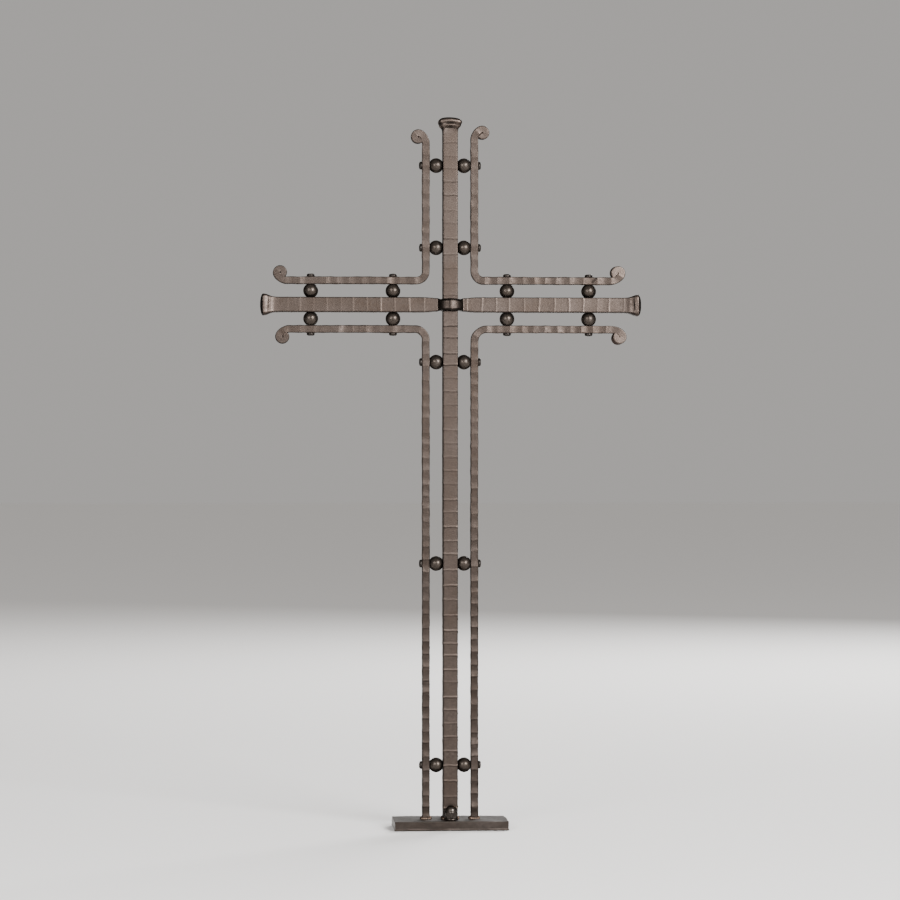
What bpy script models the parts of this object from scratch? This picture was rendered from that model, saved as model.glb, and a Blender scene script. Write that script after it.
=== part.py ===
"""Forged grave cross on its base plate, as separate solids in metres with +Z up.

The origin is on the underside of the plate, below the axis of the upright.  X runs
along the cross bar, and Y runs from the front (minus) to the back.  All bars lie in
the XZ plane, and their places are given from the crossing of the two main bars.
"""
import math

import bmesh
import bpy
import numpy as np
from mathutils import Matrix, Vector

# Clearance between pieces that touch
GAP = 0.0003

# Base plate, with a hole for each of its two holding-down bolts
PLATE_WIDTH = 0.160
PLATE_DEPTH = 0.080
PLATE_THICKNESS = 0.0135
PLATE_EDGE_ROUND = 0.0012
BOLT_HOLE_DIAMETER = 0.011
BOLT_DISTANCE = 0.024

# Main bars, measured from the crossing
CROSSING_HEIGHT = 0.732
TOP_ARM_LENGTH = 0.2625
LEFT_ARM_LENGTH = 0.2655
RIGHT_ARM_LENGTH = 0.2690
UPRIGHT_SIZE = 0.0210
CROSS_BAR_SIZE = 0.0210
MAIN_EDGE = 0.0012

# Upset heads on the three free ends, and their outline as pairs: the share of the
# head's length from the very end, and the share of its spread beyond the bar
TOP_HEAD_WIDTH = 0.0320
SIDE_HEAD_WIDTH = 0.0302
TOP_HEAD_LENGTH = 0.0215
SIDE_HEAD_LENGTH = 0.0165
HEAD_EDGE = 0.0045
HEAD_OUTLINE = (
    (0.00, -0.40),
    (0.04, 0.12),
    (0.12, 0.68),
    (0.22, 1.00),
    (0.47, 1.00),
    (0.59, 0.70),
    (0.72, 0.36),
    (1.00, 0.00),
)

# Swelled eye in the cross bar that the upright passes through
EYE_WALL = 0.0085
EYE_LENGTH = 0.036
EYE_HEIGHT = 0.0179
EYE_NECK_HEIGHT = 0.0143
EYE_END_HEIGHT = 0.0184
EYE_EDGE = 0.0024
EYE_TAPER = 0.020
EYE_NECK_SHARE = 0.74
EYE_RING_SHARES = (0.0, 0.22, 0.42, 0.60, 0.74, 0.88)

# Side bars, bent round the crossing
SIDE_BAR_SIZE = 0.0110
BEND_STEPS = 5

# Rolled ends of the side bars
ROLL_LEAD_RADIUS = 0.0200
ROLL_LEAD_TURN = 95
ROLL_EYE_RADIUS = 0.0005
ROLL_STEP = 22

# Each side bar: which way it goes from the crossing, its bend radius, and for each
# leg how far its rolled end stays short of the end of the main bar, how many degrees
# it is turned, and how thick its tip is.  A leg with no roll stands on the plate.
SIDE_BARS = (
    ("upper_left_bar", -1, 1, 0.013, (0.0170, 298, 0.0088), (0.0175, 284, 0.0080)),
    ("upper_right_bar", 1, 1, 0.013, (0.0115, 296, 0.0080), (0.0225, 298, 0.0092)),
    ("lower_left_bar", -1, -1, 0.015, None, (0.0205, 292, 0.0080)),
    ("lower_right_bar", 1, -1, 0.017, None, (0.0210, 296, 0.0084)),
)

# Balls between the side bars and the main bars, on through rivets
BALL_DIAMETER = 0.0208
BALL_LENGTH = 0.0174
BALL_SIDES = 12
BALL_STEPS = 4
RIVET_DIAMETER = 0.006
RIVET_SIDES = 8
RIVET_HEAD_DIAMETER = 0.011
RIVET_HEAD_HEIGHT = 0.0036

# Outline of a rivet's head from its crown down, as shares of its radius and its height
RIVET_HEAD_OUTLINE = ((0.0, 1.0), (0.66, 0.90), (1.0, 0.42), (0.96, 0.0))

# Rivets: how far the first one of each arm is from the crossing, how far its last one
# stays from the arm's end or from the plate, and how many are spread over each arm
FIRST_RIVET = 0.080
TOP_RIVET_MARGIN = 0.0675
LEFT_RIVET_MARGIN = 0.0705
RIGHT_RIVET_MARGIN = 0.0740
FOOT_RIVET_MARGIN = 0.0745
ARM_RIVET_COUNT = 2
FOOT_RIVET_COUNT = 3

# Cap nuts and washers on the plate
NUT_ACROSS_FLATS = 0.017
NUT_HEX_HEIGHT = 0.0085
NUT_HEIGHT = 0.018
NUT_DOME_DIAMETER = 0.0160
NUT_BORE_DIAMETER = 0.0086
NUT_BORE_DEPTH = 0.0125
NUT_SIDES = 12
NUT_DOME_STEPS = 4
WASHER_DIAMETER = 0.0200
WASHER_BORE_DIAMETER = 0.0105
WASHER_THICKNESS = 0.0020

# Hammer marks: the length of one flat, and how far a blow sinks the surface
HAMMER_PITCH = 0.018
HAMMER_DEPTH = 0.0004

# Corners of a bar's section, as which side of it, front or back, and which of the two
# reaches is shortened there: a sharp square, and a square with broken edges
SHARP_SECTION = ((1, -1, 0, 0), (1, 1, 0, 0), (-1, 1, 0, 0), (-1, -1, 0, 0))
BROKEN_SECTION = (
    (1, -1, 0, 1),
    (1, 1, 0, 1),
    (1, 1, 1, 0),
    (-1, 1, 1, 0),
    (-1, 1, 0, 1),
    (-1, -1, 0, 1),
    (-1, -1, 1, 0),
    (1, -1, 1, 0),
)

# Places worked out from the sizes above
VERTICAL_OFFSET = UPRIGHT_SIZE / 2 + BALL_LENGTH + 2 * GAP + SIDE_BAR_SIZE / 2
LEVEL_OFFSET = CROSS_BAR_SIZE / 2 + BALL_LENGTH + 2 * GAP + SIDE_BAR_SIZE / 2
FOOT_LEVEL = PLATE_THICKNESS + GAP - CROSSING_HEIGHT
FULL_TURN = 2 * math.pi


def start_collections():
    """Empty the file and return the collection of the parts and that of the cutters."""
    for old in list(bpy.data.objects):
        bpy.data.objects.remove(old)
    parts = bpy.data.collections.new("grave_cross")
    cutters = bpy.data.collections.new("cutters")
    bpy.context.scene.collection.children.link(parts)
    bpy.context.scene.collection.children.link(cutters)
    return parts, cutters


def make_material(name, colour, roughness, metallic):
    """A Principled material of one colour."""
    material = bpy.data.materials.new(name)
    material.use_nodes = True
    shader = material.node_tree.nodes["Principled BSDF"]
    shader.inputs["Base Color"].default_value = (*colour, 1.0)
    shader.inputs["Roughness"].default_value = roughness
    shader.inputs["Metallic"].default_value = metallic
    material.diffuse_color = (*colour, 1.0)
    return material


def add_object(name, mesh, collection, material=None, parent=None):
    """Put a mesh into a collection as one object."""
    piece = bpy.data.objects.new(name, mesh)
    collection.objects.link(piece)
    piece.parent = parent
    if material is not None:
        mesh.materials.append(material)
    return piece


def add_cutter(name, mesh, parent=None):
    """Put a mesh into the scene as a cutter, which is never rendered."""
    cutter = add_object(name, mesh, CUTTERS, parent=parent)
    cutter.hide_render = True
    cutter.display_type = "WIRE"
    return cutter


def cylinder_mesh(name, radius, length, sides):
    """A closed cylinder along Z, centred on the origin, with a flat side facing -Y."""
    shape = bmesh.new()
    bmesh.ops.create_cone(shape, cap_ends=True, segments=sides, radius1=radius, radius2=radius, depth=length)
    bmesh.ops.rotate(shape, verts=shape.verts, matrix=Matrix.Rotation(math.pi / sides, 3, "Z"))
    mesh = bpy.data.meshes.new(name)
    shape.to_mesh(mesh)
    shape.free()
    return mesh


def boolean(piece, other, operation):
    """Cut a piece with another object, or join them."""
    modifier = piece.modifiers.new(f"{operation.lower()}_{other.name}", "BOOLEAN")
    modifier.operation = operation
    modifier.solver = "EXACT"
    modifier.object = other


def smooth_step(share):
    """Rise smoothly from 0 to 1 as the share goes from 0 to 1."""
    share = np.clip(share, 0.0, 1.0)
    return share * share * (3 - 2 * share)


def add_bar(name, points, normals, reaches, section, edges, material):
    """A forged bar lofted through four or eight cornered sections along a path in XZ.

    points and normals are (n, 2) arrays in X and Z.  reaches is (n, 4): how far the
    section goes against the normal, along it, to the front and to the back.  edges is
    how much is broken off each corner of a broken section.
    """
    side_sign, depth_sign, side_cut, depth_cut = np.array(section).T
    edges = np.broadcast_to(edges, len(points))[:, None]
    side_reach = np.where(side_sign > 0, reaches[:, 1:2], reaches[:, 0:1])
    depth_reach = np.where(depth_sign > 0, reaches[:, 3:4], reaches[:, 2:3])
    side = side_sign * (side_reach - side_cut * edges)
    depth = depth_sign * (depth_reach - depth_cut * edges)
    rings = np.empty((len(points), len(section), 3))
    rings[..., 0] = points[:, 0:1] + normals[:, 0:1] * side
    rings[..., 1] = depth
    rings[..., 2] = points[:, 1:2] + normals[:, 1:2] * side
    corners = np.arange(len(points) * len(section)).reshape(len(points), -1)
    after = np.roll(corners, -1, axis=1)
    walls = np.stack([corners[:-1], after[:-1], after[1:], corners[1:]], axis=-1).reshape(-1, 4)
    faces = walls.tolist() + [corners[0].tolist(), corners[-1].tolist()]
    mesh = bpy.data.meshes.new(name)
    mesh.from_pydata(rings.reshape(-1, 3).tolist(), [], faces)
    shape = bmesh.new()
    shape.from_mesh(mesh)
    bmesh.ops.recalc_face_normals(shape, faces=shape.faces)
    shape.to_mesh(mesh)
    shape.free()
    return add_object(name, mesh, PARTS, material, CROSSING)


def hammered(rng, count):
    """How far hammer blows sink each side of a bar at each of its rings."""
    return HAMMER_DEPTH * rng.random((count, 4))


def flats_between(start, end):
    """Even stations about one hammer flat apart, both ends included."""
    count = max(1, round(abs(end - start) / HAMMER_PITCH))
    return np.linspace(start, end, count + 1)


def head_stations(end, length):
    """Stations of an upset head along the bar's axis, from its plain end outwards."""
    inwards = -math.copysign(1.0, end)
    return np.array([end + inwards * share * length for share, _ in HEAD_OUTLINE])[::-1]


def head_half(distance, length, width, size):
    """Half the width of a bar with an upset head, at a distance from its very end."""
    shares = np.array([share for share, _ in HEAD_OUTLINE])
    spread = np.array([spread for _, spread in HEAD_OUTLINE])
    return size / 2 + (width - size) / 2 * np.interp(distance / length, shares, spread)


def head_edge(distance, length):
    """How much is broken off a corner of an upset head: most on the head itself."""
    return MAIN_EDGE + (HEAD_EDGE - MAIN_EDGE) * smooth_step(1.6 - 1.6 * distance / length)


def make_upright():
    """Square bar from the plate to the top, with the top end upset into a head."""
    neck = TOP_ARM_LENGTH - TOP_HEAD_LENGTH
    bar = flats_between(FOOT_LEVEL, neck)
    levels = np.concatenate([bar[:-1], head_stations(TOP_ARM_LENGTH, TOP_HEAD_LENGTH)])
    distance = TOP_ARM_LENGTH - levels
    half = head_half(distance, TOP_HEAD_LENGTH, TOP_HEAD_WIDTH, UPRIGHT_SIZE)
    points = np.stack([np.zeros_like(levels), levels], axis=1)
    normals = np.tile([1.0, 0.0], (len(levels), 1))
    reaches = half[:, None] - hammered(np.random.default_rng(11), len(levels))
    edges = head_edge(distance, TOP_HEAD_LENGTH)
    return add_bar("upright_bar", points, normals, reaches, BROKEN_SECTION, edges, MAIN_IRON)


def eye_halves(distance):
    """Half the depth and half the height of the cross bar near its eye.

    Across the eye the walls swell as an arch, and the height drops to a neck where
    the bar splits.  Beyond the eye the bar tapers back to its full size.
    """
    bar_half = CROSS_BAR_SIZE / 2
    full_depth = UPRIGHT_SIZE / 2 + GAP + EYE_WALL
    share = distance / (EYE_LENGTH / 2)
    arch = np.clip(1 - share ** 2, 0.0, 1.0) ** 0.8
    depth = bar_half + (full_depth - bar_half) * arch
    heights = (EYE_HEIGHT / 2, EYE_NECK_HEIGHT / 2, EYE_END_HEIGHT / 2)
    inside = np.interp(share, (0.0, EYE_NECK_SHARE, 1.0), heights)
    beyond = (distance - EYE_LENGTH / 2) / EYE_TAPER
    taper = EYE_END_HEIGHT / 2 + (bar_half - EYE_END_HEIGHT / 2) * smooth_step(beyond)
    return depth, np.where(share < 1, inside, taper)


def make_cross_bar():
    """Square bar with upset ends, swelled and pierced at the middle for the upright."""
    eye = np.array(EYE_RING_SHARES) * EYE_LENGTH / 2
    eye_end = EYE_LENGTH / 2
    left_neck = SIDE_HEAD_LENGTH - LEFT_ARM_LENGTH
    right_neck = RIGHT_ARM_LENGTH - SIDE_HEAD_LENGTH
    stations = np.concatenate([
        head_stations(-LEFT_ARM_LENGTH, SIDE_HEAD_LENGTH)[::-1],
        flats_between(left_neck, -eye_end)[1:],
        -eye[:0:-1],
        eye,
        flats_between(eye_end, right_neck)[:-1],
        head_stations(RIGHT_ARM_LENGTH, SIDE_HEAD_LENGTH),
    ])
    end_distance = np.where(stations < 0, LEFT_ARM_LENGTH + stations, RIGHT_ARM_LENGTH - stations)
    depth, height = eye_halves(abs(stations))
    head = head_half(end_distance, SIDE_HEAD_LENGTH, SIDE_HEAD_WIDTH, CROSS_BAR_SIZE) - CROSS_BAR_SIZE / 2
    reaches = np.stack([height + head, height + head, depth + head, depth + head], axis=1)
    plain = abs(stations) > eye_end
    reaches -= hammered(np.random.default_rng(12), len(stations)) * plain[:, None]
    edges = np.where(abs(stations) < eye_end, EYE_EDGE, head_edge(end_distance, SIDE_HEAD_LENGTH))
    points = np.stack([stations, np.zeros_like(stations)], axis=1)
    normals = np.tile([0.0, 1.0], (len(stations), 1))
    return add_bar("cross_bar", points, normals, reaches, BROKEN_SECTION, edges, MAIN_IRON)


def roll_path(degrees, tip_size):
    """A rolled end as (along, aside) points, headings and bar thicknesses.

    The path starts along the leg and turns aside.  Its radius shrinks smoothly from
    the lead to the tight roll, whose inner side nearly closes on itself, while the
    bar gets thinner towards the tip.
    """
    turn = math.radians(degrees)
    steps = max(4, round(degrees / ROLL_STEP))
    heading = np.linspace(0.0, turn, steps + 1)
    middle = (heading[1:] + heading[:-1]) / 2
    thickness = SIDE_BAR_SIZE + (tip_size - SIDE_BAR_SIZE) * heading / turn
    tight = (thickness[1:] + thickness[:-1]) / 4 + ROLL_EYE_RADIUS
    lead = 1 - smooth_step(middle / math.radians(ROLL_LEAD_TURN))
    radius = tight + (ROLL_LEAD_RADIUS - tight) * lead
    chord = 2 * radius * math.sin(turn / steps / 2)
    moves = np.stack([chord * np.cos(middle), chord * np.sin(middle)], axis=1)
    points = np.concatenate([np.zeros((1, 2)), np.cumsum(moves, axis=0)])
    return points, heading, thickness


def leg_path(start, arm_length, roll):
    """One leg of a side bar from its bend outwards: points, headings, thicknesses."""
    if roll is None:
        along = flats_between(start, -FOOT_LEVEL)[1:]
        points = np.stack([along, np.zeros_like(along)], axis=1)
        return points, np.zeros_like(along), np.full_like(along, SIDE_BAR_SIZE)
    setback, degrees, tip_size = roll
    points, heading, thickness = roll_path(degrees, tip_size)
    roll_start = arm_length - setback - np.max(points[:, 0] + thickness / 2)
    along = flats_between(start, roll_start)[1:-1]
    straight = np.stack([along, np.zeros_like(along)], axis=1)
    points = np.concatenate([straight, points + [roll_start, 0.0]])
    heading = np.concatenate([np.zeros_like(along), heading])
    thickness = np.concatenate([np.full_like(along, SIDE_BAR_SIZE), thickness])
    return points, heading, thickness


def make_side_bar(name, x_sign, z_sign, bend_radius, vertical_roll, level_roll, seed):
    """Thinner square bar bent at a right angle round the crossing, with rolled ends."""
    level_arm = LEFT_ARM_LENGTH if x_sign < 0 else RIGHT_ARM_LENGTH
    up_points, up_heading, up_size = leg_path(LEVEL_OFFSET + bend_radius, TOP_ARM_LENGTH, vertical_roll)
    out_points, out_heading, out_size = leg_path(VERTICAL_OFFSET + bend_radius, level_arm, level_roll)
    up = np.stack([VERTICAL_OFFSET + up_points[:, 1], up_points[:, 0]], axis=1)[::-1]
    up_normal = np.stack([-np.cos(up_heading), np.sin(up_heading)], axis=1)[::-1]
    out = np.stack([out_points[:, 0], LEVEL_OFFSET + out_points[:, 1]], axis=1)
    out_normal = np.stack([np.sin(out_heading), -np.cos(out_heading)], axis=1)
    turn = np.linspace(math.pi, 1.5 * math.pi, BEND_STEPS + 1)
    bend_normal = np.stack([np.cos(turn), np.sin(turn)], axis=1)
    centre = np.array([VERTICAL_OFFSET + bend_radius, LEVEL_OFFSET + bend_radius])
    points = np.concatenate([up, centre + bend_radius * bend_normal, out])
    normals = np.concatenate([up_normal, bend_normal, out_normal])
    size = np.concatenate([up_size[::-1], np.full(len(turn), SIDE_BAR_SIZE), out_size])
    depth = np.full_like(size, SIDE_BAR_SIZE)
    reaches = np.stack([size, size, depth, depth], axis=1) / 2
    reaches -= hammered(np.random.default_rng(seed), len(size))
    signs = np.array([x_sign, z_sign])
    return add_bar(name, points * signs, normals * signs, reaches, SHARP_SECTION, 0.0, SIDE_IRON)


def turned_mesh(name, profile, closed):
    """The profile of a turned piece in the XZ plane, as a mesh of edges."""
    last = [(len(profile) - 1, 0)] if closed else []
    edges = [(i, i + 1) for i in range(len(profile) - 1)] + last
    mesh = bpy.data.meshes.new(name)
    mesh.from_pydata([(radius, 0.0, height) for radius, height in profile], edges, [])
    return mesh


def turn_profile(piece, sides):
    """Spin a piece's profile about its own Z into a solid."""
    screw = piece.modifiers.new("turned", "SCREW")
    screw.axis = "Z"
    screw.angle = FULL_TURN
    screw.steps = sides
    screw.render_steps = sides
    screw.use_merge_vertices = True
    screw.merge_threshold = 0.00001
    screw.use_smooth_shade = True


def ball_profile():
    """Drilled ball with a flat at each end: down its outer side, then up the bore."""
    radius = BALL_DIAMETER / 2
    top = math.asin(BALL_LENGTH / BALL_DIAMETER)
    angles = [top - 2 * top * step / BALL_STEPS for step in range(BALL_STEPS + 1)]
    outer = [(radius * math.cos(angle), radius * math.sin(angle)) for angle in angles]
    bore = hole_radius()
    return outer + [(bore, -BALL_LENGTH / 2), (bore, BALL_LENGTH / 2)]


def hole_radius():
    """Corner radius of a rivet hole, whose flat sides clear the rivet by the gap."""
    return RIVET_DIAMETER / 2 + GAP / math.cos(math.pi / RIVET_SIDES)


def rivet_profile(head_level):
    """Rivet with a low round head outside each side bar, from the top down."""
    radius = RIVET_HEAD_DIAMETER / 2
    upper = [(radius * out, head_level + RIVET_HEAD_HEIGHT * up) for out, up in RIVET_HEAD_OUTLINE]
    upper.append((RIVET_DIAMETER / 2, head_level))
    return upper + [(out, -level) for out, level in reversed(upper)]


def make_riveted_row(arm, direction, last, count, offset, bar_half, bars):
    """The rivets and balls along one arm, and the holes for them in its three bars.

    direction points along the arm from the crossing, last is where its last rivet is,
    offset is how far its side bars stand from its axis, and bar_half is half the size
    of its main bar.
    """
    across = Vector((direction.z, 0.0, direction.x))
    turn = across.to_track_quat("Z", "Y")
    head_level = offset + SIDE_BAR_SIZE / 2 + GAP
    for number, distance in enumerate(np.linspace(FIRST_RIVET, last, count), 1):
        place = direction * float(distance)
        label = f"{arm}_{number}"
        rivet = add_object(f"rivet_{label}", turned_mesh("rivet", rivet_profile(head_level), False),
                           PARTS, RIVET_IRON, CROSSING)
        turn_profile(rivet, RIVET_SIDES)
        rivet.location = place
        rivet.rotation_euler = turn.to_euler()
        drill = add_cutter(f"drill_{label}", turned_mesh("drill", drill_profile(head_level), False), CROSSING)
        turn_profile(drill, RIVET_SIDES)
        drill.location = place
        drill.rotation_euler = turn.to_euler()
        for bar in bars:
            boolean(bar, drill, "DIFFERENCE")
        for side, sign in (("a", -1), ("b", 1)):
            ball = add_object(f"ball_{label}_{side}", turned_mesh("ball", ball_profile(), True),
                              PARTS, BALL_IRON, CROSSING)
            turn_profile(ball, BALL_SIDES)
            ball.location = place + across * sign * (bar_half + GAP + BALL_LENGTH / 2)
            ball.rotation_euler = turn.to_euler()


def drill_profile(head_level):
    """Cutter for a rivet hole through all three bars."""
    return [(0.0, head_level), (hole_radius(), head_level), (hole_radius(), -head_level), (0.0, -head_level)]


def make_plate():
    """Rectangular base plate with a bolt hole in front of the upright and one behind."""
    bpy.ops.mesh.primitive_cube_add(size=1.0, location=(0.0, 0.0, PLATE_THICKNESS / 2))
    plate = bpy.context.object
    plate.name = "base_plate"
    plate.data.name = "base_plate"
    for corner in plate.data.vertices:
        corner.co *= Vector((PLATE_WIDTH, PLATE_DEPTH, PLATE_THICKNESS))
    plate.data.materials.append(PLATE_IRON)
    for collection in list(plate.users_collection):
        collection.objects.unlink(plate)
    PARTS.objects.link(plate)
    rounding = plate.modifiers.new("rounded_edges", "BEVEL")
    rounding.width = PLATE_EDGE_ROUND
    rounding.segments = 1
    rounding.limit_method = "ANGLE"
    for label, y_sign in (("front", -1), ("back", 1)):
        hole = add_cutter(f"bolt_hole_{label}",
                          cylinder_mesh("bolt_hole", BOLT_HOLE_DIAMETER / 2, PLATE_THICKNESS * 3, NUT_SIDES))
        hole.location = (0.0, y_sign * BOLT_DISTANCE, PLATE_THICKNESS / 2)
        boolean(plate, hole, "DIFFERENCE")
    return plate


def nut_dome_profile():
    """Dome of a cap nut, from its crown down into the hexagon."""
    radius = NUT_DOME_DIAMETER / 2
    shoulder = NUT_HEIGHT - radius
    angles = [math.pi / 2 * (1 - step / NUT_DOME_STEPS) for step in range(NUT_DOME_STEPS + 1)]
    crown = [(radius * math.cos(angle), shoulder + radius * math.sin(angle)) for angle in angles]
    crown[0] = (0.0, NUT_HEIGHT)
    foot = NUT_HEX_HEIGHT / 2
    return crown + [(radius, foot), (0.0, foot)]


def make_nut(label, y_sign):
    """Washer over a bolt hole and the cap nut on it, with one flat to the front."""
    place = Vector((0.0, y_sign * BOLT_DISTANCE, PLATE_THICKNESS + GAP))
    outer, bore = WASHER_DIAMETER / 2, WASHER_BORE_DIAMETER / 2
    profile = [(outer, WASHER_THICKNESS), (outer, 0.0), (bore, 0.0), (bore, WASHER_THICKNESS)]
    washer = add_object(f"washer_{label}", turned_mesh("washer", profile, True), PARTS, WASHER_STEEL)
    turn_profile(washer, NUT_SIDES)
    washer.location = place
    seat = place + Vector((0.0, 0.0, WASHER_THICKNESS + GAP))
    corner_radius = NUT_ACROSS_FLATS / 2 / math.cos(math.pi / 6)
    hexagon = cylinder_mesh("cap_nut", corner_radius, NUT_HEX_HEIGHT, 6)
    for corner in hexagon.vertices:
        corner.co.z += NUT_HEX_HEIGHT / 2
    nut = add_object(f"cap_nut_{label}", hexagon, PARTS, NUT_STEEL)
    nut.location = seat
    dome = add_cutter(f"dome_{label}", turned_mesh("dome", nut_dome_profile(), False))
    turn_profile(dome, NUT_SIDES)
    dome.location = seat
    boolean(nut, dome, "UNION")
    bore_cutter = add_cutter(f"nut_bore_{label}",
                             cylinder_mesh("nut_bore", NUT_BORE_DIAMETER / 2, 2 * NUT_BORE_DEPTH, NUT_SIDES))
    bore_cutter.location = seat
    boolean(nut, bore_cutter, "DIFFERENCE")


PARTS, CUTTERS = start_collections()
MAIN_IRON = make_material("main_bar_iron", (0.130, 0.105, 0.085), 0.48, 0.85)
SIDE_IRON = make_material("side_bar_iron", (0.115, 0.092, 0.075), 0.50, 0.85)
BALL_IRON = make_material("ball_iron", (0.045, 0.036, 0.030), 0.36, 0.85)
RIVET_IRON = make_material("rivet_iron", (0.040, 0.032, 0.027), 0.40, 0.85)
PLATE_IRON = make_material("plate_iron", (0.105, 0.088, 0.075), 0.42, 0.85)
NUT_STEEL = make_material("nut_steel", (0.170, 0.160, 0.150), 0.28, 1.0)
WASHER_STEEL = make_material("washer_steel", (0.110, 0.100, 0.092), 0.38, 1.0)

CROSSING = bpy.data.objects.new("crossing", None)
CROSSING.location = (0.0, 0.0, CROSSING_HEIGHT)
PARTS.objects.link(CROSSING)

UPRIGHT = make_upright()
CROSS_BAR = make_cross_bar()
SIDES = {}
for index, (bar_name, x_way, z_way, radius_of_bend, rising_roll, level_end) in enumerate(SIDE_BARS):
    SIDES[bar_name] = make_side_bar(bar_name, x_way, z_way, radius_of_bend, rising_roll, level_end, 21 + index)

EYE_HOLE = UPRIGHT_SIZE + 2 * GAP
eye_mesh = cylinder_mesh("eye_hole", EYE_HOLE / math.sqrt(2), 4 * CROSS_BAR_SIZE, 4)
boolean(CROSS_BAR, add_cutter("eye_hole", eye_mesh, CROSSING), "DIFFERENCE")

ROWS = (
    ("top", (0, 0, 1), TOP_ARM_LENGTH - TOP_RIVET_MARGIN, ARM_RIVET_COUNT, "upper_left_bar", "upper_right_bar"),
    ("left", (-1, 0, 0), LEFT_ARM_LENGTH - LEFT_RIVET_MARGIN, ARM_RIVET_COUNT, "upper_left_bar", "lower_left_bar"),
    ("right", (1, 0, 0), RIGHT_ARM_LENGTH - RIGHT_RIVET_MARGIN, ARM_RIVET_COUNT,
     "upper_right_bar", "lower_right_bar"),
    ("foot", (0, 0, -1), -FOOT_LEVEL - FOOT_RIVET_MARGIN, FOOT_RIVET_COUNT, "lower_left_bar", "lower_right_bar"),
)
for arm_name, way, last_rivet, rivet_count, first_side, second_side in ROWS:
    level = way[0] != 0
    main_bar = CROSS_BAR if level else UPRIGHT
    main_half = (CROSS_BAR_SIZE if level else UPRIGHT_SIZE) / 2
    side_offset = LEVEL_OFFSET if level else VERTICAL_OFFSET
    make_riveted_row(arm_name, Vector(way), last_rivet, rivet_count, side_offset, main_half,
                     (main_bar, SIDES[first_side], SIDES[second_side]))

make_plate()
make_nut("front", -1)
make_nut("back", 1)
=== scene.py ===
import math

import bpy
import numpy as np
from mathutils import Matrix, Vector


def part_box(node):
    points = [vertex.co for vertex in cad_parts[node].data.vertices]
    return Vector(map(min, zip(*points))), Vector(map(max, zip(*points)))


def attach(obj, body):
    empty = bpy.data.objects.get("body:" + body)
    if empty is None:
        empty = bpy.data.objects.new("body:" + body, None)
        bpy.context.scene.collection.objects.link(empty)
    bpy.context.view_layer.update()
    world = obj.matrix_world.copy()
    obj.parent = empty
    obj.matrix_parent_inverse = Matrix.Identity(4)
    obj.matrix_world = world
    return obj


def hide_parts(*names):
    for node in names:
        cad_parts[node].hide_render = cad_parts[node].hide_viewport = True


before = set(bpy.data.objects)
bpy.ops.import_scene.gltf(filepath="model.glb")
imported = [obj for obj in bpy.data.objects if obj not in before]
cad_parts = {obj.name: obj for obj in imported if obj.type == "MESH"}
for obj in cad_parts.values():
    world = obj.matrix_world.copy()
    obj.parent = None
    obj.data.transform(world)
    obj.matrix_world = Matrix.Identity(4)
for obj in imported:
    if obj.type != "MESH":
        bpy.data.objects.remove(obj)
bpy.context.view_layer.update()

# Base plate
# A rectangle of flat iron that the cross stands on, cut to length, its edges broken with
# a file and its faces left a little uneven.  Two bolts hold it down through its washers.
PLATE_CELL = 0.0012
PLATE_EDGE = 0.0013
PLATE_WAVE, PLATE_WAVE_PITCH = 0.00060, 0.040
PLATE_DENT, PLATE_DENT_PITCH = 0.00012, 0.009
PLATE_WEAR, PLATE_WEAR_PATCHES, PLATE_WEAR_PITCH = 0.3, 1.6, 0.006
PLATE_TONE = (0.046, 0.0365, 0.031)
ROUNDING_STEPS = np.array([0.0, 0.22, 0.48, 0.75])
NOISE_WAVES, NOISE_RATES = 10, (0.6, 1.5)
# What the finish makes of its tone in brown and pale scale, in specks, under painted shade
# and soot and under painted highlights and wear, and how much duller and glossier than its
# roughness the specks leave it.
SCALE_BROWN, SCALE_PALE = (0.80, 0.76, 0.72), (1.10, 1.12, 1.15)
SPECK_SHARE, SHADE_AND_SOOT_SHARE, HIGHLIGHT_AND_WEAR_SHARE = 0.62, 0.10, 1.9
DULLER, GLOSSIER = 0.06, 0.05


def ripple(points, pitch, seed):
    """Smooth noise, mostly from -1 to 1: the sum of plane waves with random directions,
    random lengths about the pitch and random phases."""
    rng = np.random.default_rng(seed)
    way = rng.normal(size=(3, NOISE_WAVES))
    rate = rng.uniform(*NOISE_RATES, NOISE_WAVES)
    way *= 2 * math.pi / pitch * rate / np.linalg.norm(way, axis=0)
    phase = rng.uniform(0.0, 2 * math.pi, NOISE_WAVES)
    return np.sin(points @ way + phase).sum(axis=-1) * 2 / NOISE_WAVES


def stations_across(low, high, cell, edge):
    """Even stations from low to high, with more of them on the rounding at both ends."""
    count = max(2, round((high - low - 2 * edge) / cell))
    middle = np.linspace(low + edge, high - edge, count + 1)
    rounding = edge * ROUNDING_STEPS
    return np.concatenate([low + rounding, middle, high - rounding[::-1]])


def block_skin(lines):
    """Points and squares over the six sides of a block, from its stations along X, Y, Z.
    Each side is the grid of its two directions, and a point that sides share is kept once."""
    cells = []
    for axis in range(3):
        first, second = (axis + 1) % 3, (axis + 2) % 3
        counts = [len(lines[first]) - 1, len(lines[second]) - 1]
        corner = np.stack(np.meshgrid(*map(np.arange, counts), indexing="ij"), axis=-1)
        corner = corner.reshape(-1, 1, 2)
        for end in (0, len(lines[axis]) - 1):
            turn = np.array([(0, 0), (1, 0), (1, 1), (0, 1)])
            side = np.full((len(corner), 4, 3), end)
            side[:, :, [first, second]] = corner + (turn if end else turn[::-1])
            cells.append(side)
    cells = np.concatenate(cells)
    places, faces = np.unique(cells.reshape(-1, 3), axis=0, return_inverse=True)
    points = np.stack([lines[axis][places[:, axis]] for axis in range(3)], axis=-1)
    return points, faces.reshape(-1, 4)


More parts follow.
